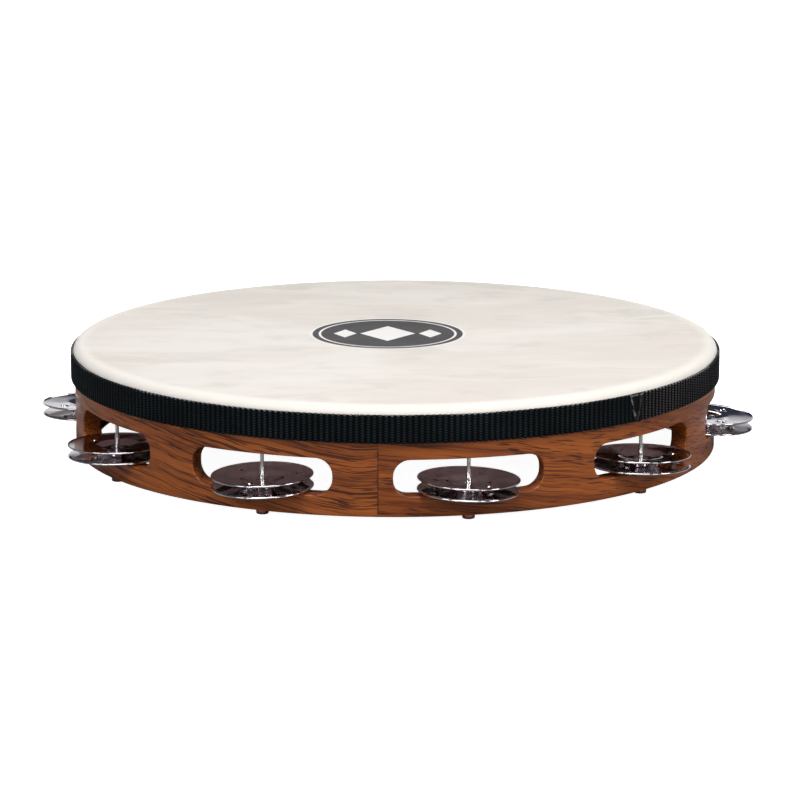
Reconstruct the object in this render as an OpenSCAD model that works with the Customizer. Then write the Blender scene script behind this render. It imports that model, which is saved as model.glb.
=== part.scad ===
// Tambourine: a bent wooden hoop with a tacked skin head, a webbing trim band
// and pairs of loose steel jingles on nails driven up through the hoop.
// Origin: centre of the hoop, at the height of the nail heads' lower faces. +Z is up, towards the head.

/* [Hoop] */
// Outer diameter of the wooden hoop
hoop_d = 254; // [230:1:270]
// Thickness of the hoop's wall
hoop_wall = 7.5; // [6:0.5:8]
// Height of the wooden hoop, without the skin
hoop_h = 41; // [40:0.5:46]
// Radius of the rounded outer edge that the skin turns over
bearing_r = 3; // [2:0.5:3.5]
// Size of the chamfer along the inner top edge
inner_bevel = 1.5; // [0.5:0.5:2]

/* [Slots] */
// Number of jingle slots round the hoop
slot_count = 10; // [8, 10]
// Width of a slot, measured across its opening
slot_w = 56.6; // [50:0.2:58]
// Height of a slot
slot_h = 13.6; // [13:0.2:15]
// Height of the wood left below a slot
slot_sill = 7.8; // [6:0.2:8]
// Radius of a slot's rounded corners
slot_corner = 6.2; // [4:0.2:6.4]
// Direction of the first slot, from straight ahead (-Y) towards +X
slot_phase = 12.6; // [0:0.2:35.8]

/* [Nails] */
// Diameter of a nail's shank
nail_d = 2; // [1.8:0.1:2.2]
// Diameter of a nail's head
nail_head_d = 4.7; // [4:0.1:5.5]
// Thickness of a nail's head, which stands below the hoop
nail_head_h = 2; // [1.6:0.1:2.4]
// Depth of the nail's blind hole above the slot
nail_grip = 8; // [5:0.5:9]

/* [Jingles] */
// Diameter of a jingle
jingle_d = 38; // [34:0.5:39]
// Thickness of the jingle's sheet metal
jingle_t = 0.5; // [0.5:0.05:0.6]
// Diameter of the hole that the nail passes through
jingle_hole_d = 3.2; // [3:0.1:3.6]
// Radius of the flat at the middle of the cup
cup_flat_r = 4.5; // [4:0.5:6]
// Radius where the cup meets the flange
cup_r = 10.3; // [9:0.1:11]
// Height that the cup's side climbs
cup_rise = 0.95; // [0.8:0.05:1.2]
// Height that the flange climbs
flange_rise = 0.6; // [0.5:0.05:0.9]
// Height of the lip that is turned up at the rim
lip_rise = 0.3; // [0.2:0.05:0.3]
// Diameter of the stamped dimples in the flange
dimple_d = 1.8; // [1.4:0.1:2]
// Gap between a jingle's rim and whatever it lies on
rest_gap = 0.1; // [0.1:0.05:0.2]
// How far each pair of jingles leans, one angle for each slot
jingle_tilt = [2, 2.4, 3.4, 2.2, 1.4, 2.8, 1.8, 1.6, 1.2, 1.6]; // [0:0.2:6]
// Where each pair's low side points: 0 is outwards and 90 is along the hoop
jingle_lean = [92, 108, 6, -40, 70, -15, 100, -64, -90, -45]; // [-120:1:120]

/* [Skin and trim] */
// Thickness of the skin
skin_t = 0.5; // [0.4:0.05:0.7]
// Height of the skin's turned-down edge, measured from the top of the hoop
skirt_h = 12.6; // [11:0.2:13]
// Height of the webbing band
band_w = 10.9; // [9:0.1:12]
// Thickness of the webbing band
band_t = 1.1; // [0.8:0.1:1.4]
// Distance from the top of the hoop down to the webbing band
band_drop = 2.3; // [2:0.1:3]
// Direction of the band's joint, from straight ahead towards +X
fold_angle = 44.3; // [0:0.1:60]
// Width of the folded end of the band, at its top
fold_w = 7; // [6:0.5:12]
// Thickness of the folded end where it lies on the band
fold_t = 0.7; // [0.5:0.1:0.9]
// Number of tacks that hold the skin, hidden under the band
tack_count = 20; // [10:10:30]
// Length of a tack's shank
tack_l = 6; // [4:0.5:6.5]
// Diameter of a tack's head
tack_head_d = 4.4; // [4:0.2:5]

/* [Hidden] */
$fa = 3;
$fs = 0.4;
hoop_r = hoop_d / 2;
hoop_ri = hoop_r - hoop_wall;
nail_circle_r = hoop_r - hoop_wall / 2;
hoop_z0 = nail_head_h;
hoop_z1 = hoop_z0 + hoop_h;
slot_z0 = hoop_z0 + slot_sill;
slot_z1 = slot_z0 + slot_h;
slot_step = 360 / slot_count;
// Turn of the revolved shapes that keeps their starting edges clear of the slots' ends, nails and tacks
seam_turn = slot_phase + 15;
skin_r = hoop_r + skin_t;
band_r = skin_r + band_t;
band_z1 = hoop_z1 - band_drop;
band_z0 = band_z1 - band_w;
fold_margin = 0.3;
tack_z = band_z0 + band_w / 2;
tack_floor = skin_t * 0.2;
tack_head_h = skin_t * 0.7;
tack_r = 0.7;
jingle_r = jingle_d / 2;
jingle_depth = cup_rise + flange_rise + lip_rise;
dimple_ring_r = jingle_r * 0.66;
dimple_ball_r = 1.6;
through = 30;

// Two-digit number of slot i, used in the node names
function number(i) = i < 9 ? str("0", i + 1) : str(i + 1);

// Direction of slot i
function slot_angle(i) = slot_phase + slot_step * i;

// Points on an arc, for a rounded corner in an outline
function arc(cx, cz, r, from, to, steps = 10) =
    [for (k = [0:steps]) let (a = from + (to - from) * k / steps) [cx + r * cos(a), cz + r * sin(a)]];

// Height of the cup side at radius r: a smooth S from the flat to the flange
function cup_height(r) =
    cup_rise * (1 - cos(180 * (r - cup_flat_r) / (cup_r - cup_flat_r))) / 2;

// Height of a jingle's face above its cup at radius r
function dish_height(r) =
    r <= cup_flat_r ? 0 :
    r <= cup_r ? cup_height(r) :
    cup_rise + flange_rise * (r - cup_r) / (jingle_r - cup_r);

// Turns its children from straight ahead (-Y) to the direction a
module facing(a) {
    rotate([0, 0, a])
        children();
}

// Outline of a slot, centred on the nail, with y as height
module slot_outline() {
    inner_w = slot_w - 2 * slot_corner;
    translate([-inner_w / 2, slot_z0])
        square([inner_w, slot_h]);
    translate([-slot_w / 2, slot_z0 + slot_corner])
        square([slot_w, slot_h - 2 * slot_corner]);
    for (x = [-inner_w / 2, inner_w / 2], z = [slot_z0 + slot_corner, slot_z1 - slot_corner])
        translate([x, z])
            circle(r = slot_corner, $fn = 48);
}

// Cutter that opens one slot through the hoop's wall
module slot_cutter() {
    translate([0, -nail_circle_r + through / 2, 0])
        rotate([90, 0, 0])
            linear_extrude(height = through)
                slot_outline();
}

// Cross-section of the hoop's wall, with a rounded outer edge and a bevelled inner one
module hoop_section() {
    polygon(concat(
        [[hoop_ri, hoop_z0], [hoop_r, hoop_z0]],
        arc(hoop_r - bearing_r, hoop_z1 - bearing_r, bearing_r, 0, 90),
        [[hoop_ri + inner_bevel, hoop_z1], [hoop_ri, hoop_z1 - inner_bevel]]
    ));
}

// Wooden hoop, slotted for the jingles and drilled for the nails and tacks
module hoop() {
    color("peru")
        difference() {
            rotate([0, 0, seam_turn])
                rotate_extrude($fn = 240)
                    hoop_section();
            for (i = [0:slot_count - 1])
                facing(slot_angle(i)) {
                    slot_cutter();
                    translate([0, -nail_circle_r, hoop_z0 - 1])
                        cylinder(d = nail_d, h = 1 + slot_sill + slot_h + nail_grip, $fn = 32);
                }
            tack_layout()
                translate([0, 0, -1])
                    cylinder(r = tack_r, h = tack_l + 1, $fn = 24);
        }
}

// Places its children at every tack, with +Z pointing into the hoop from its outer face
module tack_layout() {
    tack_step = 360 / tack_count;
    for (i = [0:tack_count - 1])
        facing(slot_phase + tack_step * (i + 0.5))
            translate([0, -hoop_r, tack_z])
                rotate([-90, 0, 0])
                    children();
}

// Skin head: a flat membrane that turns over the bearing edge and down the outside of the hoop
module skin() {
    skirt_z0 = hoop_z1 - skirt_h;
    edge_z = hoop_z1 - bearing_r;
    edge_r = hoop_r - bearing_r;
    color("cornsilk")
        difference() {
            rotate([0, 0, seam_turn])
                rotate_extrude($fn = 240)
                    polygon(concat(
                        [[0, hoop_z1], [edge_r, hoop_z1]],
                        arc(edge_r, edge_z, bearing_r, 90, 0),
                        [[hoop_r, skirt_z0], [skin_r, skirt_z0]],
                        arc(edge_r, edge_z, bearing_r + skin_t, 0, 90),
                        [[0, hoop_z1 + skin_t]]
                    ));
            tack_layout() {
                translate([0, 0, -tack_floor])
                    cylinder(r = tack_r, h = 1, $fn = 24);
                translate([0, 0, -1])
                    cylinder(d = tack_head_d, h = 1 - tack_floor, $fn = 32);
            }
        }
}

// Tacks that pin the turned-down skin to the hoop, their heads sunk flush in the skin
module skin_tacks() {
    color("dimgray")
        tack_layout() {
            translate([0, 0, -tack_floor])
                cylinder(r = tack_r, h = tack_l + tack_floor, $fn = 24);
            translate([0, 0, -tack_floor - tack_head_h])
                cylinder(d = tack_head_d, h = tack_head_h, $fn = 32);
        }
}

// Webbing band glued round the head's turned-down edge
module trim_band() {
    color("midnightblue")
        rotate_extrude($fn = 240)
            translate([skin_r, band_z0])
                square([band_t, band_w]);
}

// Folded end of the band: a triangular flap that narrows downwards, glued on the band
module trim_fold() {
    color("black")
        intersection() {
            difference() {
                cylinder(r = band_r + fold_t, h = hoop_z1, $fn = 240);
                translate([0, 0, -1])
                    cylinder(r = band_r, h = hoop_z1 + 2, $fn = 240);
            }
            facing(fold_angle)
                translate([0, -hoop_r + 6, 0])
                    rotate([90, 0, 0])
                        linear_extrude(height = 12)
                            polygon([
                                [-fold_w / 2, band_z1 - fold_margin],
                                [fold_w / 2, band_z1 - fold_margin],
                                [fold_w * 0.3, band_z0 + fold_margin],
                                [-fold_w * 0.05, band_z0 + fold_margin]
                            ]);
        }
}

// Nail i: head below the hoop, shank up through the sill and across the slot
module nail(i) {
    shank_l = slot_sill + slot_h + nail_grip;
    color("silver")
        facing(slot_angle(i))
            translate([0, -nail_circle_r, 0]) {
                cylinder(d1 = nail_head_d - 0.8, d2 = nail_head_d, h = 0.4, $fn = 48);
                translate([0, 0, 0.4])
                    cylinder(d = nail_head_d, h = nail_head_h - 0.4, $fn = 48);
                translate([0, 0, nail_head_h])
                    cylinder(d = nail_d, h = shank_l, $fn = 32);
            }
}

// One jingle with its cup at z = 0 and its rim above: pierced, dished, lipped and dimpled
module jingle() {
    lip_in = jingle_r - 0.7;
    cup_steps = 8;
    face = concat(
        [[jingle_hole_d / 2, 0]],
        [for (k = [0:cup_steps])
            let (r = cup_flat_r + (cup_r - cup_flat_r) * k / cup_steps) [r, cup_height(r)]],
        [[lip_in, dish_height(lip_in)], [jingle_r, cup_rise + flange_rise + lip_rise]]
    );
    back = [for (k = [len(face) - 1:-1:0]) face[k] + [0, jingle_t]];
    difference() {
        rotate_extrude($fn = 96)
            polygon(concat(face, back));
        for (k = [0:2])
            rotate([0, 0, 90 + 120 * k])
                translate([
                    dimple_ring_r,
                    0,
                    dish_height(dimple_ring_r) + jingle_t + sqrt(dimple_ball_r ^ 2 - (dimple_d / 2) ^ 2)
                ])
                    sphere(r = dimple_ball_r, $fn = 32);
    }
}

// Share of a leaning rim's drop that falls over the sill, for a pair whose low side points along lean
function drop_share(lean) = cos(max(0, abs(abs(lean) - 90) - asin(hoop_wall / 2 / jingle_r)));

// Height of pair i's contact plane on its nail, where the lower rim just clears the sill
function seat_z(i) =
    slot_z0 + rest_gap + (jingle_depth + jingle_t) * cos(jingle_tilt[i])
    + jingle_r * sin(jingle_tilt[i]) * drop_share(jingle_lean[i]);

// Places its children on nail i, leaning as pair i does
module jingle_seat(i) {
    facing(slot_angle(i))
        translate([0, -nail_circle_r, seat_z(i)])
            rotate([0, 0, jingle_lean[i]])
                rotate([jingle_tilt[i], 0, 0])
                    children();
}

// Lower jingle of pair i, cup up and rim down
module jingle_lower(i) {
    color("lightgray")
        jingle_seat(i)
            mirror([0, 0, 1])
                jingle();
}

// Upper jingle of pair i, cup down and rim up
module jingle_upper(i) {
    color("gainsboro")
        jingle_seat(i)
            translate([0, 0, rest_gap])
                jingle();
}

hoop();
skin();
trim_band();
trim_fold();
skin_tacks();
for (i = [0:slot_count - 1]) {
    nail(i);
    jingle_lower(i);
    jingle_upper(i);
}
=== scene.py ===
"""Tambourine: slotted wooden hoop, stretched skin head, webbing band and pairs of loose steel jingles."""

import math

import bmesh
import bpy
import numpy as np
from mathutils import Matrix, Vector, noise


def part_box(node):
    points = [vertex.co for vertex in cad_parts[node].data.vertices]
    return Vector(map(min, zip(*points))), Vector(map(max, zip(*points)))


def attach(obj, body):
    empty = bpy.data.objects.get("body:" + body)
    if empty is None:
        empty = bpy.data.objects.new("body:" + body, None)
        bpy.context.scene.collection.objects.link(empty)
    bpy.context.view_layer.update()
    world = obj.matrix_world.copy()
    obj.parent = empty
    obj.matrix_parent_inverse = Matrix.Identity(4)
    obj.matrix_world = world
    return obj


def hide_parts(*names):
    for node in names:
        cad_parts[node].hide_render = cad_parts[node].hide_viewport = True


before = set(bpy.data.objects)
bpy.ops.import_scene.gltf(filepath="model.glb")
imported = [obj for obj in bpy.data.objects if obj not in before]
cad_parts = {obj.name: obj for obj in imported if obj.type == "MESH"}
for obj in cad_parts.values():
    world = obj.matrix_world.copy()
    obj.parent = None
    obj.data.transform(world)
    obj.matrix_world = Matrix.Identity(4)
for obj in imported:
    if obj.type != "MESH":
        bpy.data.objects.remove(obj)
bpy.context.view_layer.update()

MM = 0.001
TAU = 2 * math.pi

# ---------------------------------------------------------------- sizes, from the frame and in metres

hoop_low, hoop_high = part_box("hoop")
skin_low, skin_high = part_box("skin")
band_low, band_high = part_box("trim_band")
fold_low, fold_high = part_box("trim_fold")
PAIRS = [name.removeprefix("nail_") for name in sorted(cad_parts) if name.startswith("nail_")]

HOOP_R = hoop_high.x
HOOP_WALL = 7.5 * MM
HOOP_RI = HOOP_R - HOOP_WALL
HOOP_Z0, HOOP_Z1 = hoop_low.z, hoop_high.z
BEARING_R = 3 * MM  # radius of the hoop's outer top edge, which the skin rolls over
INNER_BEVEL = 1.5 * MM

SLOT_W, SLOT_H = 56.6 * MM, 13.6 * MM
SLOT_SILL = 7.8 * MM
SLOT_Z0 = HOOP_Z0 + SLOT_SILL
SLOT_CORNER = 6.2 * MM
SLOT_EASE = 0.7 * MM  # radius of the eased edges of the slots and of the hoop's lower rim

SKIN_T = skin_high.z - HOOP_Z1
SKIN_R = HOOP_R + SKIN_T

BAND_R = band_high.x
BAND_Z0, BAND_Z1 = band_low.z, band_high.z
RIB_COUNT = 372
THREAD_PITCH = 0.95 * MM
FOLD_W = 7 * MM
FOLD_LEAN = 0.45 * FOLD_W  # how far the folded end's left edge runs to the right on its way down
CREASE_X, CREASE_LEAN = 1.35 * FOLD_W, 0.32 * FOLD_W  # the faint crease near its right edge, along which a thin highlight is painted

NAIL_CIRCLE_R = HOOP_R - HOOP_WALL / 2
NAIL_SHANK_R, NAIL_THIN_R = 1.0 * MM, 0.68 * MM
NAIL_POINT_R, NAIL_POINT = 0.02 * MM, 2.5 * MM
NAIL_THINS_AT = 0.58  # share of the slot's height at which the shank starts to thin

JINGLE_R = 19 * MM
JINGLE_T = 0.5 * MM
JINGLE_HOLE_R = 1.6 * MM
CUP_FLAT_R, CUP_R, CUP_RISE = 4.5 * MM, 9.5 * MM, 1.15 * MM
FLANGE_RISE, LIP_RISE, LIP_W = 0.4 * MM, 0.3 * MM, 0.9 * MM
LIP_BEAD_R = 0.32 * MM
DIMPLES, DIMPLE_RING_R = 3, JINGLE_R * 0.66
DIMPLE_R, DIMPLE_DEPTH, DIMPLE_SHAPE = 1.4 * MM, 0.95 * MM, 0.6

MARK_X, MARK_Y, MARK_R = -3 * MM, 7.5 * MM, 30 * MM
MARK_HALO, MARK_SOFT = 1.1 * MM, 0.12 * MM
MARK_RING = 26.6 * MM, 27.6 * MM  # inner and outer radius
MARK_LOZENGES = (  # middle, half width and half height
    (0.0, 11 * MM, 15 * MM),
    (-17 * MM, 4.6 * MM, 8 * MM),
    (17 * MM, 4.6 * MM, 8 * MM))


def angle_of(point):
    """Direction of a point round the hoop, from -Y towards +X, in radians."""
    return math.atan2(point.x, -point.y)


NAILS = {pair: sum(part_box("nail_" + pair), Vector()) / 2 for pair in PAIRS}
SLOT_ANGLES = sorted(angle_of(p) for p in NAILS.values())
FOLD_ANGLE = angle_of((fold_low + fold_high) / 2)
GLUE_SEAM = math.radians(-2.85)  # the hoop's glued joint, in the post between two slots


# ---------------------------------------------------------------- mesh helpers

WELD = 0.002 * MM  # points closer than this are one point


def polar(angle, r, z):
    """A point of the row frame from its direction round the hoop, its radius and its height."""
    return np.stack(np.broadcast_arrays(r * np.sin(angle), -r * np.cos(angle), z), axis=-1)


def grid_faces(rows, cols, first=0, close_rows=False, close_cols=False):
    """Quads of a grid of rows x cols points, numbered row by row from first."""
    r = np.arange(rows if close_rows else rows - 1)
    c = np.arange(cols if close_cols else cols - 1)
    r, c = [a.ravel() for a in np.meshgrid(r, c, indexing="ij")]
    r2, c2 = (r + 1) % rows, (c + 1) % cols
    quads = np.stack([r * cols + c, r * cols + c2, r2 * cols + c2, r2 * cols + c], axis=1)
    return (quads + first).tolist()


def make(name, grids, material):
    """One object from grids of points, each (points of shape rows x cols x 3, close_rows, close_cols)."""
    points, faces, first = [], [], 0
    for grid, close_rows, close_cols in grids:
        rows, cols = grid.shape[:2]
        points.append(grid.reshape(-1, 3))
        faces += grid_faces(rows, cols, first, close_rows, close_cols)
        first += rows * cols
    mesh = bpy.data.meshes.new(name)
    mesh.from_pydata(np.concatenate(points).tolist(), [], faces)
    obj = bpy.data.objects.new(name, mesh)
    bpy.context.scene.collection.objects.link(obj)
    bm = bmesh.new()
    bm.from_mesh(mesh)
    bmesh.ops.remove_doubles(bm, verts=bm.verts, dist=WELD)
    bmesh.ops.dissolve_degenerate(bm, edges=bm.edges, dist=WELD)
    bmesh.ops.recalc_face_normals(bm, faces=bm.faces)
    bm.to_mesh(mesh)
    bm.free()
    mesh.shade_smooth()
    mesh.materials.append(material)
    return obj


def arc(centre_r, centre_z, radius, start, end, steps):
    """(radius, height) pairs on an arc of a cross-section; angles in degrees, 0 is outwards and 90 is up."""
    a = np.radians(np.linspace(start, end, steps + 1))
    return [(centre_r + radius * math.cos(t), centre_z + radius * math.sin(t)) for t in a]


def turned(profile, segments):
    """Points of a closed cross-section turned round the Z axis: one row for each (r, z) pair."""
    angles = np.arange(segments) * TAU / segments
    return np.stack([polar(angles, r, z) for r, z in profile])


# ---------------------------------------------------------------- shader helpers

class Shader:
    """A node material with one Principled surface, and short names for the nodes used here."""

    def __init__(self, name, **constants):
        self.material = bpy.data.materials.new(name)
        self.material.use_nodes = True
        self.tree = self.material.node_tree
        self.surface = self.tree.nodes["Principled BSDF"]
        for socket, value in constants.items():
            self.surface.inputs[socket.replace("_", " ")].default_value = value

    def node(self, kind, inputs=(), **settings):
        n = self.tree.nodes.new("ShaderNode" + kind)
        for key, value in settings.items():
            setattr(n, key, value)
        for socket, value in dict(inputs).items():
            self.put(n.inputs[socket], value)
        return n

    def put(self, socket, value):
        if isinstance(value, bpy.types.NodeSocket):
            self.tree.links.new(value, socket)
        else:
            socket.default_value = value

    def set(self, **values):
        for socket, value in values.items():
            self.put(self.surface.inputs[socket.replace("_", " ")], value)

    def math(self, operation, *values):
        return self.node("Math", enumerate(values), operation=operation).outputs[0]

    def plus(self, a, b):
        return self.math("ADD", a, b)

    def minus(self, a, b):
        return self.math("SUBTRACT", a, b)

    def times(self, a, b):
        return self.math("MULTIPLY", a, b)

    def gap(self, a, b):
        """How far a is from b."""
        return self.math("ABSOLUTE", self.minus(a, b))

    def hypot(self, a, b):
        squares = self.plus(self.math("POWER", a, 2.0), self.math("POWER", b, 2.0))
        return self.math("POWER", squares, 0.5)

    def ridge(self, value):
        """0 at every whole number and 1 half way between."""
        return self.math("ABSOLUTE", self.math("SINE", self.times(value, math.pi)))

    def step(self, value, low, high, from_value=0.0, to_value=1.0):
        """A smooth step of value from low to high."""
        inputs = {0: value, 1: low, 2: high, 3: from_value, 4: to_value}
        return self.node("MapRange", inputs, interpolation_type="SMOOTHSTEP").outputs[0]

    def mix(self, factor, a, b):
        """Colour a where factor is 0 and b where it is 1."""
        n = self.node("Mix", data_type="RGBA")
        for socket, value in ((n.inputs[0], factor), (n.inputs[6], a), (n.inputs[7], b)):
            self.put(socket, value)
        return n.outputs[2]

    def bump(self, height, distance, strength=1.0):
        return self.node("Bump", {"Height": height, "Distance": distance, "Strength": strength}).outputs[0]

    def vector(self, x=0.0, y=0.0, z=0.0):
        return self.node("CombineXYZ", {0: x, 1: y, 2: z}).outputs[0]

    def noise(self, vector, scale, detail=2.0, roughness=0.5, distortion=0.0):
        """Smooth noise from 0 to 1, with scale features per metre."""
        inputs = {"Vector": vector, "Scale": scale, "Detail": detail, "Roughness": roughness}
        inputs["Distortion"] = distortion
        return self.node("TexNoise", inputs).outputs[0]

    def flat_noise(self, x, y, detail=2.0, roughness=0.5, distortion=0.0):
        """Noise over two lengths, each already multiplied by its features per metre."""
        return self.noise(self.vector(x, y), 1.0, detail, roughness, distortion)

    def place(self):
        """The object's own coordinates, which are the row frame's at rest, as x, y and z."""
        coordinates = self.node("TexCoord").outputs["Object"]
        return self.node("SeparateXYZ", {0: coordinates}).outputs

    def around(self, start, radius):
        """Length round the hoop from the direction start, measured at a radius, and height."""
        x, y, z = self.place()
        turn = self.minus(self.math("ARCTAN2", x, self.times(y, -1.0)), start)
        turn = self.plus(turn, self.times(self.math("LESS_THAN", turn, 0.0), TAU))
        return self.times(turn, radius), z


def rgb(r, g, b):
    """A display colour, 0 to 255, as the linear colour a shader takes."""
    def linear(c):
        c /= 255
        return c / 12.92 if c <= 0.04045 else ((c + 0.055) / 1.055) ** 2.4
    return (linear(r), linear(g), linear(b), 1.0)


# ---------------------------------------------------------------- materials

GRAIN_SLOPE = 0.13  # how much the hoop's grain climbs for each metre round it


def wood_material():
    """Lacquered reddish hardwood: slanting bands, long dark lines, short dark pores and a glue line."""
    s = Shader("lacquered_wood", Coat_Weight=0.45, Coat_Roughness=0.12, Coat_IOR=1.45,
               Specular_IOR_Level=0.2)
    light, deep, bright = rgb(164, 87, 33), rgb(104, 47, 17), rgb(180, 103, 44)
    pore, glue = rgb(48, 16, 8), rgb(46, 18, 10)
    length, height = s.around(GLUE_SEAM, HOOP_R)
    x, y, _ = s.place()
    drift = s.times(s.flat_noise(s.times(length, 11.0), height, 3.0), 0.016)
    across = s.plus(s.plus(height, s.times(length, GRAIN_SLOPE)), drift)
    depth = s.times(s.hypot(x, y), 0.6)

    def streaks(along, over, detail, rough, distortion=0.0):
        """Noise with these features per metre along the grain and over it."""
        place = s.vector(s.times(length, along), s.times(across, over), s.times(depth, over))
        return s.noise(place, 1.0, detail, rough, distortion)

    bands = streaks(6.0, 190.0, 4.0, 0.6, 0.4)
    fine = streaks(45.0, 2200.0, 3.0, 0.65)
    lines = s.step(streaks(20.0, 1350.0, 2.0, 0.45), 0.545, 0.61)
    pores = s.step(streaks(110.0, 1900.0, 1.5, 0.5), 0.565, 0.63)
    where = streaks(9.0, 110.0, 2.0, 0.5)
    lined = s.math("MAXIMUM", s.step(where, 0.50, 0.62), s.step(length, 0.60, 0.66))
    lines = s.times(lines, lined)
    pores = s.times(pores, s.step(where, 0.62, 0.44))
    marks = s.math("MAXIMUM", lines, pores)

    colour = s.mix(s.step(bands, 0.3, 0.7), light, deep)
    colour = s.mix(s.times(s.step(fine, 0.35, 0.75), 0.45), colour, bright)
    colour = s.mix(s.times(marks, 0.85), colour, pore)

    ragged = s.flat_noise(0.0, s.times(height, 700.0), 3.0)
    from_seam = s.math("MINIMUM", length, s.minus(TAU * HOOP_R, length))
    seam = s.step(from_seam, 0.0, s.times(ragged, 1.1 * MM), 1.0, 0.0)
    broken = s.step(s.flat_noise(0.0, s.times(height, 190.0)), 0.38, 0.52, 0.25, 1.0)
    colour = s.mix(s.times(seam, s.times(broken, 0.8)), colour, glue)

    relief = s.plus(s.times(marks, -1.0), s.times(fine, 0.25))
    lacquer = s.plus(s.times(marks, -0.5), bands)
    s.set(Base_Color=colour,
          Roughness=s.step(fine, 0.2, 0.8, 0.36, 0.55),
          Normal=s.bump(relief, 0.05 * MM, 0.6),
          Coat_Normal=s.bump(lacquer, 0.05 * MM, 0.35))
    return s.material


def skin_material():
    """Goat skin: cream with faint tan and grey clouds and fine fibres, and a printed round emblem."""
    s = Shader("goat_skin", IOR=1.45, Specular_IOR_Level=0.4, Subsurface_Weight=0.5,
               Subsurface_Scale=1.0 * MM, Subsurface_Radius=(1.0, 1.0, 1.0))
    cream, tan, grey = rgb(238, 229, 219), rgb(226, 216, 205), rgb(209, 203, 192)
    fibre, painted_back_shade, painted_rim_highlight = rgb(219, 208, 195), rgb(212, 205, 193), rgb(248, 240, 228)
    painted_transmitted_light, halo_tone = rgb(234, 212, 212), rgb(250, 246, 242)
    ink_dark, ink_light = rgb(47, 44, 43), rgb(56, 53, 52)
    x, y, z = s.place()
    wide = s.vector(x, s.times(y, 2.2), z)
    clouds = s.noise(wide, 14.0, 4.0, 0.55, 0.6)
    patches = s.noise(wide, 34.0, 5.0, 0.6, 0.4)
    fibres = s.flat_noise(s.times(x, 90.0), s.times(y, 420.0), 4.0, 0.65, 1.2)
    pores = s.noise(s.vector(x, y, z), 2600.0)

    colour = s.mix(s.step(clouds, 0.35, 0.68), cream, tan)
    farther = s.step(y, -0.3 * HOOP_R, HOOP_R, 0.5, 1.0)
    colour = s.mix(s.times(s.step(patches, 0.5, 0.68), farther), colour, grey)
    colour = s.mix(s.times(s.step(fibres, 0.5, 0.8), 0.25), colour, fibre)
    # painted shade: the far half of the head is painted darker, in cloudy patches
    back_shade_mask = s.times(s.step(y, 0.0, HOOP_R), s.step(clouds, 0.25, 0.6, 0.45, 1.0))
    colour = s.mix(s.times(back_shade_mask, 0.75), colour, painted_back_shade)
    radius = s.hypot(x, y)
    # painted highlight: the rolled edge of the head is painted lighter and warmer towards the rim
    rim = s.step(radius, HOOP_R - 7 * MM, HOOP_R - 1 * MM)
    colour = s.mix(s.times(rim, 0.8), colour, painted_rim_highlight)
    # painted light: the underside of the head inside the hoop is painted pinker, standing in for warm light
    # shining through the skin
    inside = s.step(radius, HOOP_RI, HOOP_RI + 1 * MM, 1.0, 0.0)
    under = s.times(inside, s.step(z, HOOP_Z1 + 0.1 * MM, HOOP_Z1 + 0.3 * MM, 1.0, 0.0))
    colour = s.mix(s.times(under, s.step(patches, 0.2, 0.8, 1.0, 0.7)), colour, painted_transmitted_light)
    ink, halo = emblem(s, x, y, z)
    colour = s.mix(s.times(halo, 0.6), colour, halo_tone)
    colour = s.mix(ink, colour, s.mix(s.step(patches, 0.3, 0.7), ink_dark, ink_light))

    relief = s.plus(s.plus(s.times(fibres, 0.6), s.times(pores, 0.25)), patches)
    s.set(Base_Color=colour,
          Roughness=s.step(clouds, 0.2, 0.8, 0.5, 0.62),
          Normal=s.bump(relief, 0.06 * MM, 0.5))
    return s.material


def emblem(s, x, y, z):
    """Ink and halo of a plain printed mark: a round field with a thin ring and a row of three lozenges."""
    dx, dy = s.minus(x, MARK_X), s.minus(y, MARK_Y)
    r = s.hypot(dx, dy)

    def inside(distance, limit):
        return s.step(distance, limit - MARK_SOFT, limit + MARK_SOFT, 1.0, 0.0)

    open_parts = s.minus(inside(r, MARK_RING[1]), inside(r, MARK_RING[0]))
    for middle, half_w, half_h in MARK_LOZENGES:
        up = s.times(s.math("ABSOLUTE", dy), half_w / half_h)
        lozenge = inside(s.plus(s.gap(dx, middle), up), half_w)
        open_parts = s.math("MAXIMUM", open_parts, lozenge)
    top = s.math("GREATER_THAN", z, HOOP_Z1 + SKIN_T / 2)
    ink = s.times(inside(r, MARK_R), s.minus(1.0, open_parts))
    halo = s.times(inside(r, MARK_R + MARK_HALO), s.minus(1.0, ink))
    return s.times(ink, top), s.times(halo, top)


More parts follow.
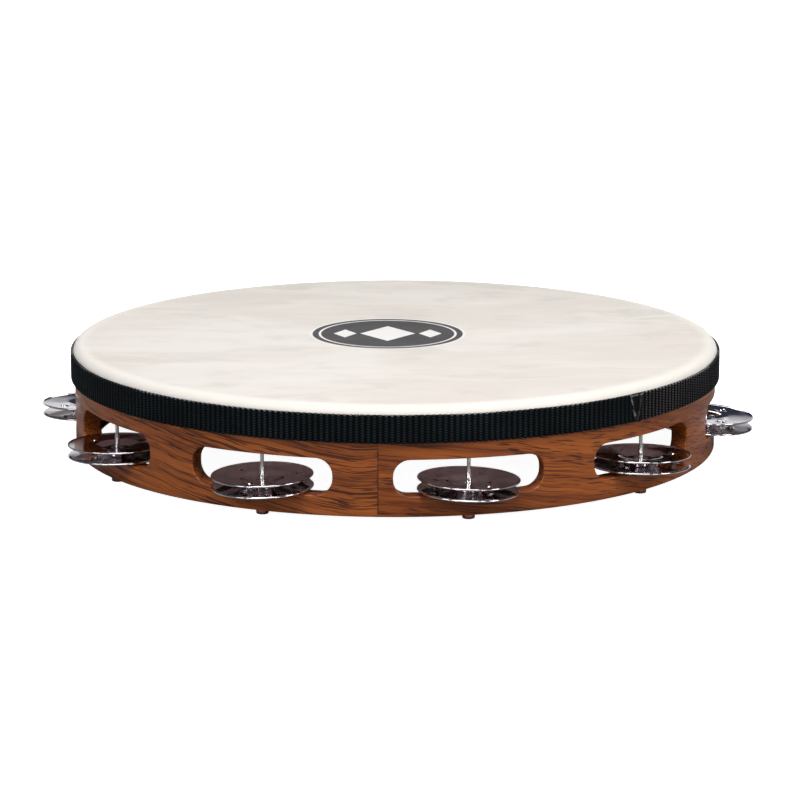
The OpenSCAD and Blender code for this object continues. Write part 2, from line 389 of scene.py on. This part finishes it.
def webbing_material():
    """Black webbing with a blue-green cast: ribs of short floating threads, staggered from rib to rib, with
    painted highlights on the thread tops, stronger right of the folded end and along the top edge.
    """
    s = Shader("ribbed_webbing", Specular_IOR_Level=0.08)
    black, thread_highlight_blue, painted_sheen_grey, top_edge_highlight = rgb(1, 2, 2), rgb(33, 48, 55), rgb(84, 78, 80), rgb(150, 152, 150)
    turn, height = s.around(0.0, 1.0)  # at a radius of 1 the length is the turn in radians
    rib = s.times(turn, RIB_COUNT / TAU)
    odd = s.times(s.math("MODULO", s.math("FLOOR", rib), 2.0), 0.5)
    thread = s.ridge(s.plus(s.math("DIVIDE", height, THREAD_PITCH), odd))
    ridge = s.ridge(rib)
    fibre = s.flat_noise(s.times(turn, 900.0), s.times(height, 5000.0))
    sheen_patches = s.flat_noise(s.times(turn, 6.0), s.times(height, 60.0), 3.0)
    stitch = s.times(thread, ridge)
    # painted highlight: the tops of the floating threads are painted blue-grey, stronger in patches
    lit = s.times(s.step(stitch, 0.45, 0.95), s.step(sheen_patches, 0.3, 0.7, 0.45, 1.0))
    colour = s.mix(lit, black, thread_highlight_blue)
    # painted highlight: right of the folded end the thread tops are painted a paler grey, where light from
    # the right catches them
    right_side_sheen = s.times(s.step(turn, FOLD_ANGLE, FOLD_ANGLE + 0.05), s.step(turn, 1.0, 1.6, 1.0, 0.0))
    colour = s.mix(s.times(right_side_sheen, lit), colour, painted_sheen_grey)
    # painted highlight: pale flecks on the rib crests along the top edge
    top = s.step(height, BAND_Z1 - 0.7 * MM, BAND_Z1 - 0.2 * MM)
    selvedge_highlight = s.times(s.times(top, s.step(ridge, 0.55, 0.95)), s.step(sheen_patches, 0.42, 0.58, 0.1, 0.75))
    colour = s.mix(selvedge_highlight, colour, top_edge_highlight)
    s.set(Base_Color=colour,
          Roughness=s.step(fibre, 0.2, 0.8, 0.5, 0.7),
          Normal=s.bump(s.plus(stitch, s.times(fibre, 0.2)), 0.2 * MM))
    return s.material


def fold_material():
    """The webbing's cut end, sealed with heat and glue: glossy black with a painted sheen, and painted
    highlights along its left and top edges and its crease.
    """
    s = Shader("sealed_webbing_end", Specular_IOR_Level=0.12)
    black, sheen, pale = rgb(1, 1, 2), rgb(6, 8, 10), rgb(150, 152, 148)
    x, y, z = s.place()
    lumps = s.noise(s.vector(x, y, z), 700.0, 3.0, 0.6)
    length, height = s.around(FOLD_ANGLE - FOLD_W / BAND_R, BAND_R)  # from one width left of its middle
    down = s.math("DIVIDE", s.minus(BAND_Z1, height), BAND_Z1 - BAND_Z0)
    from_left = s.gap(length, s.plus(FOLD_W / 2, s.times(down, FOLD_LEAN)))
    from_crease = s.gap(length, s.minus(CREASE_X, s.times(down, CREASE_LEAN)))
    from_top = s.gap(height, BAND_Z1 - 0.5 * MM)
    # painted highlights: thin pale lines along the left and top edges and along the faint crease
    sides = s.step(s.math("MINIMUM", from_left, from_top), 0.15 * MM, 0.4 * MM, 1.0, 0.0)
    crease = s.step(from_crease, 0.1 * MM, 0.4 * MM, 0.18, 0.0)
    edge = s.math("MAXIMUM", s.times(sides, s.step(down, 0.7, 0.9, 1.0, 0.1)), crease)
    # painted sheen: lumpy patches a little lighter than the black
    colour = s.mix(s.step(lumps, 0.4, 0.7), black, sheen)
    colour = s.mix(s.times(edge, s.step(lumps, 0.35, 0.55)), colour, pale)
    s.set(Base_Color=colour,
          Roughness=s.step(lumps, 0.3, 0.7, 0.3, 0.6),
          Normal=s.bump(lumps, 0.4 * MM, 0.8))
    return s.material


def steel_material(name, dark, light, roughness, scratch_scale, scratch_depth, wood_reflection_below=None):
    """Metal with hazy patches and hairline marks, and a painted brown reflection of the wood below a height
    if one is given.
    """
    s = Shader(name, Metallic=1.0)
    x, y, z = s.place()
    place = s.vector(x, y, z)
    haze = s.noise(place, 260.0, 3.0, 0.6)
    grime = s.noise(place, 90.0, 4.0, 0.6, 0.8)
    hair = s.noise(s.vector(s.times(x, 0.25), y, z), scratch_scale, 2.0, 0.5, 3.0)
    shade = s.mix(s.step(grime, 0.35, 0.7), light, dark)
    if wood_reflection_below is not None:
        # painted reflection: below that height the metal is painted brown, standing in for the wood seen in
        # it
        below = s.step(z, wood_reflection_below - 0.3 * MM, wood_reflection_below, 1.0, 0.0)
        shade = s.mix(s.times(below, s.step(haze, 0.3, 0.5, 0.5, 1.0)), shade, rgb(206, 146, 126))
    s.set(Base_Color=shade,
          Roughness=s.step(haze, 0.3, 0.75, roughness, roughness * 2.2),
          Normal=s.bump(hair, scratch_depth, 0.4))
    return s.material


# ---------------------------------------------------------------- the hoop

ARC_STEPS, LONG_STEPS, SHORT_STEPS = 8, 16, 2  # round a slot: on each corner, long side and short side
FACE_STEPS = (0.0, 0.04, 0.16, 0.35, 0.6, 0.8, 1.0)  # from a slot's edge to its panel's outline
EASE_STEPS = 4


def slot_outline(grow=0.0):
    """(across, up) points round a slot from its centre, clockwise from the left end, grown outwards."""
    half_w, half_h, corner = SLOT_W / 2 + grow, SLOT_H / 2 + grow, SLOT_CORNER + grow
    points = []
    for k, (sx, sz) in enumerate(((-1, 1), (1, 1), (1, -1), (-1, -1))):
        centre = (sx * (half_w - corner), sz * (half_h - corner))
        for a in np.radians(np.linspace(180 - 90 * k, 90 - 90 * k, ARC_STEPS + 1)):
            points.append((centre[0] + corner * math.cos(a), centre[1] + corner * math.sin(a)))
        steps = LONG_STEPS if k % 2 == 0 else SHORT_STEPS
        reach = 2 * (half_w - corner if k % 2 == 0 else half_h - corner)
        towards = ((1, 0), (0, -1), (-1, 0), (0, 1))[k]
        x, z = points[-1]
        for j in range(1, steps):
            points.append((x + towards[0] * reach * j / steps, z + towards[1] * reach * j / steps))
    return np.array(points)


def panel_outline(low, high, half_step):
    """(angle, height) points round one slot's share of the hoop, matched to the points of its outline."""
    outline = slot_outline()
    diagonal = SLOT_CORNER * (1 - math.cos(math.pi / 4))
    x = outline[:, 0] / (SLOT_W / 2 - diagonal)
    z = outline[:, 1] / (SLOT_H / 2 - diagonal)
    long_side = np.abs(z) >= np.abs(x)
    angle = np.where(long_side, half_step * x, half_step * np.sign(x))
    height = np.where(long_side, np.sign(z), z)
    return angle, low + (high - low) * (height + 1) / 2


def hoop_piece(material):
    """The hoop: one panel for each slot, with eased edges, and the strips that close it below and above."""
    half_step = math.pi / len(SLOT_ANGLES)
    mid = SLOT_Z0 + SLOT_H / 2
    outer = panel_outline(HOOP_Z0 + SLOT_EASE, HOOP_Z1 - BEARING_R, half_step)
    inner = panel_outline(HOOP_Z0 + SLOT_EASE, HOOP_Z1 - INNER_BEVEL, half_step)

    def ring(r, grow, panel, share):
        """One ring of points, a share of the way from the slot's grown outline to its panel's."""
        across, up = slot_outline(grow).T
        angle = np.arcsin(across / r)
        return angle * (1 - share) + panel[0] * share, (mid + up) * (1 - share) + panel[1] * share, r

    rings = [ring(HOOP_R, SLOT_EASE, outer, share) for share in reversed(FACE_STEPS)]
    eases = np.radians(np.linspace(0, 90, EASE_STEPS + 1))[1:]
    for a in eases:
        drop, grow = SLOT_EASE * (1 - math.cos(a)), SLOT_EASE * (1 - math.sin(a))
        rings.append(ring(HOOP_R - drop, grow, outer, 0.0))
    rings.append(ring(NAIL_CIRCLE_R, 0.0, outer, 0.0))
    for a in reversed(eases):
        drop, grow = SLOT_EASE * (1 - math.cos(a)), SLOT_EASE * (1 - math.sin(a))
        rings.append(ring(HOOP_RI + drop, grow, inner, 0.0))
    rings += [ring(HOOP_RI, SLOT_EASE, inner, share) for share in FACE_STEPS]

    below = [(HOOP_RI, HOOP_Z0 + SLOT_EASE)]
    below += arc(HOOP_RI + SLOT_EASE, HOOP_Z0 + SLOT_EASE, SLOT_EASE, 180, 270, EASE_STEPS)
    below += arc(HOOP_R - SLOT_EASE, HOOP_Z0 + SLOT_EASE, SLOT_EASE, 270, 360, EASE_STEPS)
    above = arc(HOOP_R - BEARING_R, HOOP_Z1 - BEARING_R, BEARING_R, 0, 90, 2 * EASE_STEPS)
    above += [(HOOP_RI + INNER_BEVEL, HOOP_Z1), (HOOP_RI, HOOP_Z1 - INNER_BEVEL)]
    edge = np.sort(outer[0][outer[1] < HOOP_Z0 + 1.1 * SLOT_EASE])  # angles of a panel's lowest points

    grids = []
    for turn in SLOT_ANGLES:
        panel = np.stack([polar(turn + angle, r, z) for angle, z, r in rings])
        grids.append((panel, False, True))
        for strip in (below, above):
            grids.append((np.stack([polar(turn + edge, r, z) for r, z in strip]), False, False))
    return make("wooden_hoop", grids, material)


# ---------------------------------------------------------------- the skin head

def skin_piece(material):
    """The stretched skin: flat on the hoop, rolled over its edge and turned down behind the band."""
    segments, top_rings, roll_steps = 360, 26, 10
    pucker, pucker_scale = 0.12 * MM, (160, 160, 40)
    sag, sag_scale = 0.10 * MM, 22
    edge_r, edge_z = HOOP_R - BEARING_R, HOOP_Z1 - BEARING_R
    tangent_z = edge_z - 1 * MM
    radii = edge_r * np.sqrt(np.linspace(0, 1, top_rings))
    profile = [(r, skin_high.z) for r in radii]
    profile += arc(edge_r, edge_z, BEARING_R + SKIN_T, 90, 0, roll_steps)[1:]
    profile += [(SKIN_R, tangent_z), (SKIN_R, skin_low.z), (HOOP_R, skin_low.z), (HOOP_R, tangent_z)]
    profile += arc(edge_r, edge_z, BEARING_R, 0, 90, roll_steps)
    profile += [(r, HOOP_Z1) for r in reversed(radii[:-1])]
    points = turned(profile, segments)
    for row in range(top_rings, top_rings + roll_steps + 1):
        for k in range(segments):
            puckered = 1 + noise.noise(Vector(points[row, k] * pucker_scale)) * pucker / SKIN_R
            points[row, k] *= (puckered, puckered, 1)
    for row in range(top_rings):
        for k in range(segments):
            x, y = points[row, k, :2]
            out = math.hypot(x, y) / edge_r
            loose = max(min(1.0, out) * (1 - out) * 4, 0)
            uneven = 0.5 + noise.noise(Vector((x * sag_scale, y * sag_scale, 3.0)))
            points[row, k, 2] -= uneven * sag * loose
    return make("skin_head", [(points, True, True)], material)


# ---------------------------------------------------------------- the webbing band

ROUNDING = ((0.45, 0.0), (0.8, 0.12), (0.95, 0.45), (1.0, 1.0))  # of the band's edges: shares out and in


def band_piece(material):
    """The webbing: a strip with round ribs and scalloped edges, closed round the hoop."""
    per_rib, rib_shape = 8, 0.7
    groove, scallop, edge, wander = 0.38 * MM, 0.30 * MM, 0.35 * MM, 0.25 * MM
    k = np.arange(RIB_COUNT * per_rib)
    angles = k * TAU / len(k)
    dip = 1 - np.abs(np.sin(math.pi * k / per_rib)) ** rib_shape
    drift = np.array([noise.noise(Vector((math.cos(a) * 3, math.sin(a) * 3, 7.0))) for a in angles]) * wander
    low = BAND_Z0 + scallop * dip + drift.clip(0)
    high = BAND_Z1 - scallop * dip + drift.clip(None, 0)
    outer = BAND_R - groove * dip
    rows = [(SKIN_R, low + edge / 2), (SKIN_R, high - edge / 2)]
    rows += [(SKIN_R + (outer - SKIN_R) * out, high - edge * inn) for out, inn in ROUNDING]
    rows += [(outer, high + (low - high) * share) for share in (0.25, 0.5, 0.75)]
    rows += [(SKIN_R + (outer - SKIN_R) * out, low + edge * inn) for out, inn in reversed(ROUNDING)]
    grid = np.stack([polar(angles, r, z) for r, z in rows])
    return make("webbing_band", [(grid, True, True)], material)


def fold_piece(material):
    """The band's folded end: a thin crumpled flap that narrows downwards, with two rolled edges."""
    rows, cols = 22, 18
    thick, least, sunk, above = 0.8 * MM, 0.05 * MM, 0.3 * MM, 0.1 * MM
    front = np.zeros((rows, cols, 3))
    back = np.zeros((rows, cols, 3))

    def ridge(share, middle, width, height):
        """A soft ridge that runs down the flap, at a share of its width."""
        return height * math.exp(-((share - middle) / width) ** 2)

    for i in range(rows):
        down = i / (rows - 1)
        left, right = -FOLD_W / 2 + FOLD_LEAN * down, FOLD_W * (0.5 - 0.2 * down)
        z = BAND_Z1 + above + (BAND_Z0 - BAND_Z1) * down
        for j in range(cols):
            share = j / (cols - 1)
            across = left + (right - left) * share
            crumple = noise.noise(Vector((across * 600, z * 420, 1.0)))
            edge = min(1.0, 5 * min(share, 1 - share) + 0.2)
            roll = ridge(share, 0.1, 0.08, 0.5) + ridge(share, 0.85, 0.1, 0.4)
            angle = FOLD_ANGLE + across / BAND_R
            lift = thick * (edge * (0.55 + 0.9 * crumple) + roll)
            front[i, j] = polar(angle, BAND_R + max(lift, least), z)
            back[i, j] = polar(angle, BAND_R - sunk, z)
    rim = [(i, 0) for i in range(rows)] + [(rows - 1, j) for j in range(1, cols)]
    rim += [(i, cols - 1) for i in range(rows - 2, -1, -1)] + [(0, j) for j in range(cols - 2, 0, -1)]
    side = np.stack([[front[i, j] for i, j in rim], [back[i, j] for i, j in rim]])
    return make("webbing_fold", [(front, False, False), (back, False, False), (side, False, True)], material)


# ---------------------------------------------------------------- nails and jingles

def nail_piece(pair, material):
    """A wire nail: a round head below the hoop and a shank that thins above the jingles to its point."""
    low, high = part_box("nail_" + pair)
    head_r = (high.x - low.x) / 2
    belly, brim, fillet, taper = 0.5 * MM, 0.3 * MM, 0.2 * MM, 1.5 * MM
    profile = [(NAIL_POINT_R, low.z), (head_r * 0.55, low.z), (head_r * 0.8, low.z + 0.12 * MM)]
    profile += arc(head_r - belly, low.z + 0.6 * MM, belly, -50, 0, 4)
    profile += arc(head_r - brim, HOOP_Z0 - brim, brim, 0, 90, 3)
    profile += [(NAIL_SHANK_R + fillet, HOOP_Z0), (NAIL_SHANK_R, HOOP_Z0 + fillet)]
    thins = SLOT_Z0 + NAIL_THINS_AT * SLOT_H
    profile += [(NAIL_SHANK_R, SLOT_Z0), (NAIL_SHANK_R, thins)]
    profile += [(NAIL_THIN_R, thins + taper), (NAIL_THIN_R, SLOT_Z0 + SLOT_H)]
    profile += [(NAIL_THIN_R, high.z - NAIL_POINT), (NAIL_POINT_R, high.z)]
    points = turned(profile, 32)
    points += np.array([NAILS[pair].x, NAILS[pair].y, 0])
    return make("steel_nail_" + pair, [(points, True, True)], material)


def dish(r):
    """Height of a jingle's inner face above its cup at radius r, and the lip turned up at the rim."""
    if r <= CUP_FLAT_R:
        return 0.0
    if r <= CUP_R:
        return CUP_RISE * (1 - math.cos(math.pi * (r - CUP_FLAT_R) / (CUP_R - CUP_FLAT_R))) / 2
    share = (r - CUP_R) / (JINGLE_R - CUP_R)
    lip = max(0.0, (r - JINGLE_R + LIP_W) / LIP_W)
    return CUP_RISE + FLANGE_RISE * share + LIP_RISE * lip ** 2


def seat_of(node, upward):
    """A jingle's lie, from its CAD node's points: the middle of its contact face, its axis and two sides."""
    points = np.array([v.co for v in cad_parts[node].data.vertices], float)
    centred = points - points.mean(0)
    axis = np.linalg.svd(centred, full_matrices=False)[2][2]
    if axis[2] * upward < 0:
        axis = -axis
    side = np.cross((0.0, 1.0, 0.0), axis)
    side /= np.linalg.norm(side)
    front = np.cross(axis, side)
    middle = points.mean(0)
    for direction in (side, front):
        reach = centred @ direction
        middle = middle + direction * (reach.max() + reach.min()) / 2
    middle = middle + axis * (centred @ axis).min()
    return middle, axis, side, front


def jingle_piece(pair, layer, spin, material):
    """A pressed jingle: cup, flange, lip and three dimples, seated where the CAD part lies."""
    node = f"jingle_{pair}_{layer}"
    middle, axis, side, front = seat_of(node, 1 if layer == "upper" else -1)
    near, reach = 6, 1.3 * MM  # degrees and millimetres either side of a dimple that get finer steps
    wave, calm = 0.04 * MM, 1.5 * MM  # height of the flange's waves, and width of their calm rim and fade
    spots = np.linspace(0, TAU, DIMPLES, endpoint=False)
    turns = []
    for spot in np.degrees(spots):
        turns += [spot + d for d in np.linspace(-near, near, 11)]
        turns += [spot + near + d for d in np.linspace(0, 360 / DIMPLES - 2 * near, 25)[1:-1]]
    turns = np.radians(np.array(turns))
    radii = list(np.linspace(JINGLE_HOLE_R, CUP_FLAT_R, 3)) + list(np.linspace(CUP_FLAT_R, CUP_R, 8)[1:])
    radii += list(np.linspace(DIMPLE_RING_R - reach, DIMPLE_RING_R + reach, 10))
    radii += list(np.linspace(DIMPLE_RING_R + reach, JINGLE_R - LIP_W, 4)[1:])
    radii += list(np.linspace(JINGLE_R - LIP_W, JINGLE_R - LIP_BEAD_R, 4)[1:])
    faces = [(r, dish(r)) for r in radii]
    rim_z = CUP_RISE + FLANGE_RISE + LIP_RISE + JINGLE_T / 2
    bead = arc(JINGLE_R - LIP_BEAD_R, rim_z, LIP_BEAD_R, -70, 70, 8)
    rows = []
    for r, z in faces + bead + [(r, z + JINGLE_T) for r, z in reversed(faces)]:
        u, v = r * np.cos(turns), r * np.sin(turns)
        dent = np.zeros_like(u)
        for a in spots:
            away = np.hypot(u - DIMPLE_RING_R * math.cos(a), v - DIMPLE_RING_R * math.sin(a)) / DIMPLE_R
            dent += DIMPLE_DEPTH * np.clip(1 - away ** 2, 0, 1) ** DIMPLE_SHAPE
        fade = min(1.0, max(0.0, min(r - CUP_R, JINGLE_R - calm - r) / calm))
        if fade > 0:
            ripple = [noise.noise(Vector((a * 120, b * 120, spin * 5))) for a, b in zip(u, v)]
            dent += fade * wave * np.array(ripple)
        rows.append(np.stack([u, v, z - dent], axis=-1))
    rows = np.stack(rows)
    c, n = math.cos(spin), math.sin(spin)
    u, v = rows[..., 0] * c - rows[..., 1] * n, rows[..., 0] * n + rows[..., 1] * c
    points = middle + u[..., None] * side + v[..., None] * front + rows[..., 2:] * axis
    return make(f"steel_jingle_{pair}_{layer}", [(points, True, True)], material)


# ---------------------------------------------------------------- assembly

wood = wood_material()
skin = skin_material()
webbing = webbing_material()
sealed = fold_material()
jingle_steel = steel_material("polished_jingle_steel", rgb(204, 198, 199), rgb(236, 232, 234),
                              roughness=0.045, scratch_scale=700.0, scratch_depth=0.006 * MM)
nail_steel = steel_material("bright_nail_steel", rgb(190, 186, 184), rgb(228, 225, 223),
                            roughness=0.14, scratch_scale=1500.0, scratch_depth=0.002 * MM,
                            wood_reflection_below=HOOP_Z0)
tack_steel = steel_material("blued_tack_steel", rgb(60, 62, 70), rgb(96, 98, 106),
                            roughness=0.3, scratch_scale=1500.0, scratch_depth=0.02 * MM)


def stand_for(piece, body, node):
    """The piece moves with a body and takes a node's place."""
    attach(piece, body)
    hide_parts(node)


hoop = hoop_piece(wood)
stand_for(hoop, "frame", "hoop")

head = skin_piece(skin)
stand_for(head, "frame", "skin")

band = band_piece(webbing)
stand_for(band, "frame", "trim_band")
fold = fold_piece(sealed)
stand_for(fold, "frame", "trim_fold")

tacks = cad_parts["skin_tacks"]
tacks.data.materials.clear()
tacks.data.materials.append(tack_steel)

# degrees: each upper jingle's turn on its nail, and how much further the lower one is turned
SPINS = dict(zip(PAIRS, (64, 12, 55, 30, 95, 70, 40, 100, 20, 11)))
LOWER_SPIN = 47
for pair, spin in SPINS.items():
    stand_for(nail_piece(pair, nail_steel), "frame", "nail_" + pair)
    for layer, offset in (("lower", LOWER_SPIN), ("upper", 0)):
        node = f"jingle_{pair}_{layer}"
        jingle = jingle_piece(pair, layer, math.radians(spin + offset), jingle_steel)
        stand_for(jingle, node, node)


# ---------------------------------------------------------------- floor, light and camera

def floor():
    """A plain pale floor, which reads as white and is clear from below so that the underside shows."""
    half, z, glow = 15.0, -0.05 * MM, 0.95
    lit, seen_as = (0.28, 0.27, 0.26, 1), (0.85, 0.85, 0.85, 1)
    mesh = bpy.data.meshes.new("floor")
    corners = [(x * half, y * half, z) for x, y in ((-1, -1), (1, -1), (1, 1), (-1, 1))]
    mesh.from_pydata(corners, [], [(0, 1, 2, 3)])
    obj = bpy.data.objects.new("floor", mesh)
    bpy.context.scene.collection.objects.link(obj)
    s = Shader("pale_floor", Roughness=0.9, Specular_IOR_Level=0.0, Emission_Color=(1, 1, 1, 1))
    seen = s.node("LightPath").outputs["Is Camera Ray"]
    s.set(Base_Color=s.mix(seen, lit, seen_as),
          Emission_Strength=s.times(seen, glow),
          Alpha=s.minus(1.0, s.node("NewGeometry").outputs["Backfacing"]))
    mesh.materials.append(s.material)


SOFTBOXES = {  # place, height of the point on the axis it faces, side and power, in metres and watts
    "top_light": ((0.0, -0.6, 1.4), 0.0, 0.9, 16.2),
    "back_light": ((0.0, 1.2, 1.1), 0.0, 0.6, 5),
    "left_light": ((-1.2, -1.0, 0.9), 0.02, 0.5, 5),
    "right_light": ((1.3, -0.7, 0.8), 0.02, 0.5, 9),
    "low_left_light": ((-0.9, -1.7, 0.62), 0.02, 0.45, 6),
    "low_right_light": ((1.0, -1.6, 0.5), 0.02, 0.35, 3.5),
}


def softbox(name, place, target_z, side, power):
    """A square area light that faces a point on the hoop's axis."""
    data = bpy.data.lights.new(name, "AREA")
    data.shape, data.size, data.energy = "SQUARE", side, power
    obj = bpy.data.objects.new(name, data)
    obj.location = place
    obj.rotation_euler = (Vector((0, 0, target_z)) - Vector(place)).to_track_quat("-Z", "Y").to_euler()
    bpy.context.scene.collection.objects.link(obj)


def studio_world():
    """A dark room, with a pale backdrop low down behind the part."""
    backdrop, ceiling, room_colour = (0.8, 0.81, 0.84, 1), (0.03, 0.035, 0.055, 1), (0.10, 0.11, 0.15, 1)
    backdrop_top, ceiling_from = 0.15, 0.24  # heights, as the upward part of a direction
    room_to, backdrop_from = -0.25, 0.15  # the same, away from the camera
    world = bpy.data.worlds.new("studio")
    bpy.context.scene.world = world
    world.use_nodes = True
    nodes, links = world.node_tree.nodes, world.node_tree.links
    split = nodes.new("ShaderNodeSeparateXYZ")
    links.new(nodes.new("ShaderNodeTexCoord").outputs["Generated"], split.inputs[0])
    ramp = nodes.new("ShaderNodeValToRGB")
    links.new(split.outputs["Z"], ramp.inputs[0])
    low, high = ramp.color_ramp.elements
    low.position, low.color = backdrop_top, backdrop
    high.position, high.color = ceiling_from, ceiling
    behind = nodes.new("ShaderNodeMapRange")
    links.new(split.outputs["Y"], behind.inputs[0])
    behind.inputs[1].default_value, behind.inputs[2].default_value = room_to, backdrop_from
    room = nodes.new("ShaderNodeMix")
    room.data_type = "RGBA"
    links.new(behind.outputs[0], room.inputs[0])
    room.inputs[6].default_value = room_colour
    links.new(ramp.outputs[0], room.inputs[7])
    links.new(room.outputs[2], nodes["Background"].inputs["Color"])


SENSOR_MM, LENS_MM = 36, 158.63
CAMERA_BACK, CAMERA_UP = 1.3736, 0.3194  # metres, from the hoop's axis and its lower edge
CAMERA_DOWN, CAMERA_RIGHT = 12.46, 0.08  # degrees that it points below the horizon and right of the axis

floor()
for name, settings in SOFTBOXES.items():
    softbox(name, *settings)
studio_world()

camera_data = bpy.data.cameras.new("camera")
camera_data.sensor_width, camera_data.lens = SENSOR_MM, LENS_MM
camera = bpy.data.objects.new("camera", camera_data)
camera.location = (0, -CAMERA_BACK, CAMERA_UP + HOOP_Z0)
camera.rotation_euler = (math.radians(90 - CAMERA_DOWN), 0, -math.radians(CAMERA_RIGHT))
bpy.context.scene.collection.objects.link(camera)
bpy.context.scene.camera = camera
bpy.context.scene.view_settings.view_transform = "Standard"
bpy.context.scene.cycles.glossy_bounces = 12  # light gets out of the gap between two jingles
